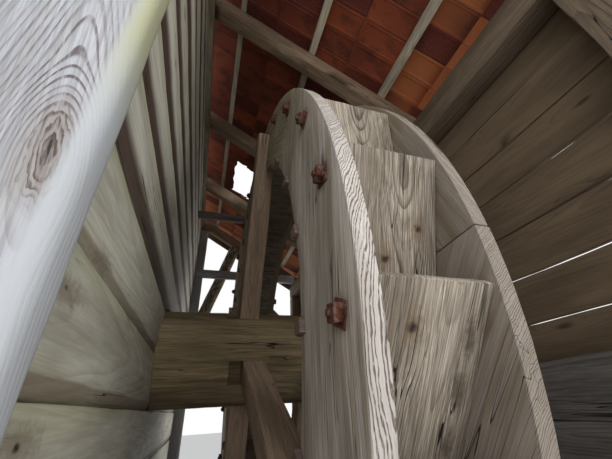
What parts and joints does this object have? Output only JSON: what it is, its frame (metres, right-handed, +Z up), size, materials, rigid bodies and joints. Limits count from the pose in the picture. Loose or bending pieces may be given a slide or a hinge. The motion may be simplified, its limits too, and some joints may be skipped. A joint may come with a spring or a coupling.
{
  "type": "watermill wheel house",
  "caption": "Lean-to wheel house of a watermill: a wooden bucket wheel on a timber shaft between a plank mill wall and a boarded outer wall on rubble masonry, under a tiled roof.",
  "frame": {"origin": "on the ground, in the middle of the whole object's footprint", "axes": "+X along the wheel shaft from the mill to the outer wall, +Y along the shed, +Z up"},
  "size_m": [2.202, 4.378, 4.3709],
  "materials": {
    "wheel_wood": "weathered grey, rough",
    "shaft_wood": "dark, damp",
    "bucket_wood": "weathered, open grain",
    "mill_wood": "weathered pale grey",
    "dark_wood": "dark brown, rough",
    "roof_wood": "grey brown, rough",
    "clay_tile": "matt fired clay",
    "fieldstone": "rough",
    "iron": "rusty"
  },
  "bodies": {
    "house": {"mill_base": "fieldstone", "outer_base": "fieldstone", "mill_planks": "mill_wood", "near_jamb": "mill_wood", "far_jamb": "mill_wood", "mill_posts": "mill_wood", "mill_plate": "mill_wood", "bearing_beam": "dark_wood", "lower_sill": "dark_wood", "upper_sill": "dark_wood", "bearing_block": "dark_wood", "outer_posts": "dark_wood", "outer_plate": "dark_wood", "outer_boards": "dark_wood", "near_verge_rafter": "roof_wood", "rafters": "roof_wood", "far_verge_rafter": "roof_wood", "laths": "roof_wood", "roof_tiles": "clay_tile", "near_barge_board": "roof_wood", "far_barge_board": "roof_wood", "far_strut": "roof_wood", "far_rail": "roof_wood", "collar_tie": "roof_wood"},
    "wheel": {"shaft": "shaft_wood", "shaft_hoops": "iron", "inner_gudgeon": "iron", "outer_gudgeon": "iron", "left_arms": "wheel_wood", "right_arms": "wheel_wood", "left_shroud": "wheel_wood", "right_shroud": "wheel_wood", "bucket_fronts": "bucket_wood", "bucket_risers": "bucket_wood", "sole_boards": "bucket_wood"}
  },
  "joints": [
    {"name": "wheel_spin", "type": "hinge", "parent": "house", "child": "wheel", "pos_m": [0, -0.124, 1.76], "axis": [1, 0, 0], "continuous": true}
  ]
}
